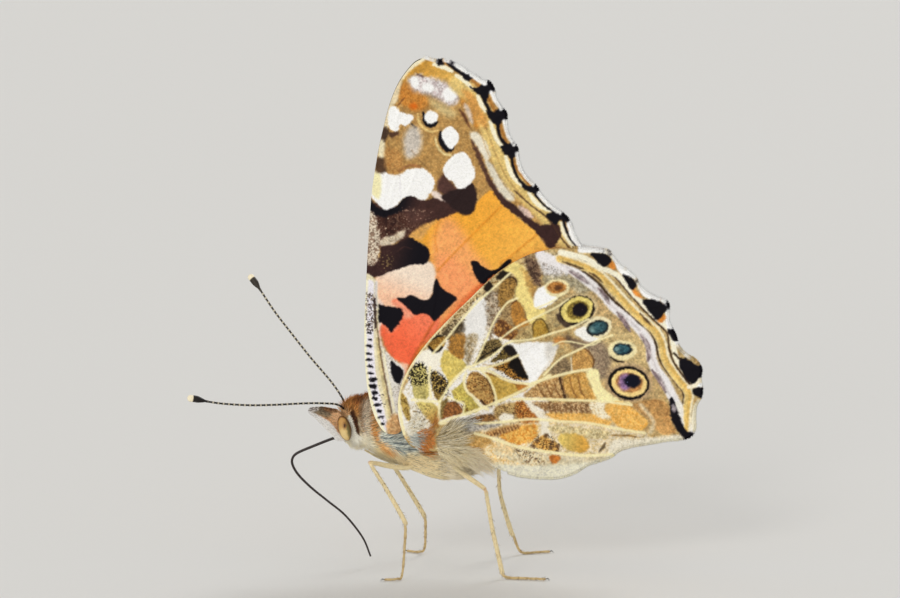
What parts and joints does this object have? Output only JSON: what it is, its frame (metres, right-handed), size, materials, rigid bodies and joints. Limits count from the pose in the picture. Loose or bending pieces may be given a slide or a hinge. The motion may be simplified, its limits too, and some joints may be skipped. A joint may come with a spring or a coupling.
{
  "type": "painted lady butterfly",
  "caption": "Life-size painted lady butterfly at rest on its feet, wings closed over its back, tongue and feelers out.",
  "frame": {"origin": "on the floor under the middle of the animal's box", "axes": "head towards -X, up +Z, the animal's left side towards -Y"},
  "size_m": [0.0417, 0.0129, 0.0417],
  "materials": {
    "coat": "matte hair and scales",
    "wing": "dry scales, matt with a slight sheen",
    "eye": "smooth, many-faceted",
    "feeler": "ringed black and white",
    "leg": "pale, finely scaled",
    "tongue": "smooth horn"
  },
  "bodies": {
    "root": {"head": "coat", "thorax": "coat", "abdomen": "coat", "proboscis_base": "tongue", "proboscis_tip": "tongue", "eye_left": "eye", "palp_left": "coat", "antenna_left": "feeler", "fore_leg_left": "leg", "mid_femur_left": "leg", "mid_tibia_left": "leg", "mid_tarsus_left": "leg", "hind_femur_left": "leg", "hind_tibia_left": "leg", "hind_tarsus_left": "leg", "forewing_left": "wing", "hindwing_left": "wing", "eye_right": "eye", "palp_right": "coat", "antenna_right": "feeler", "fore_leg_right": "leg", "mid_femur_right": "leg", "mid_tibia_right": "leg", "mid_tarsus_right": "leg", "hind_femur_right": "leg", "hind_tibia_right": "leg", "hind_tarsus_right": "leg", "forewing_right": "wing", "hindwing_right": "wing"}
  },
  "joints": []
}
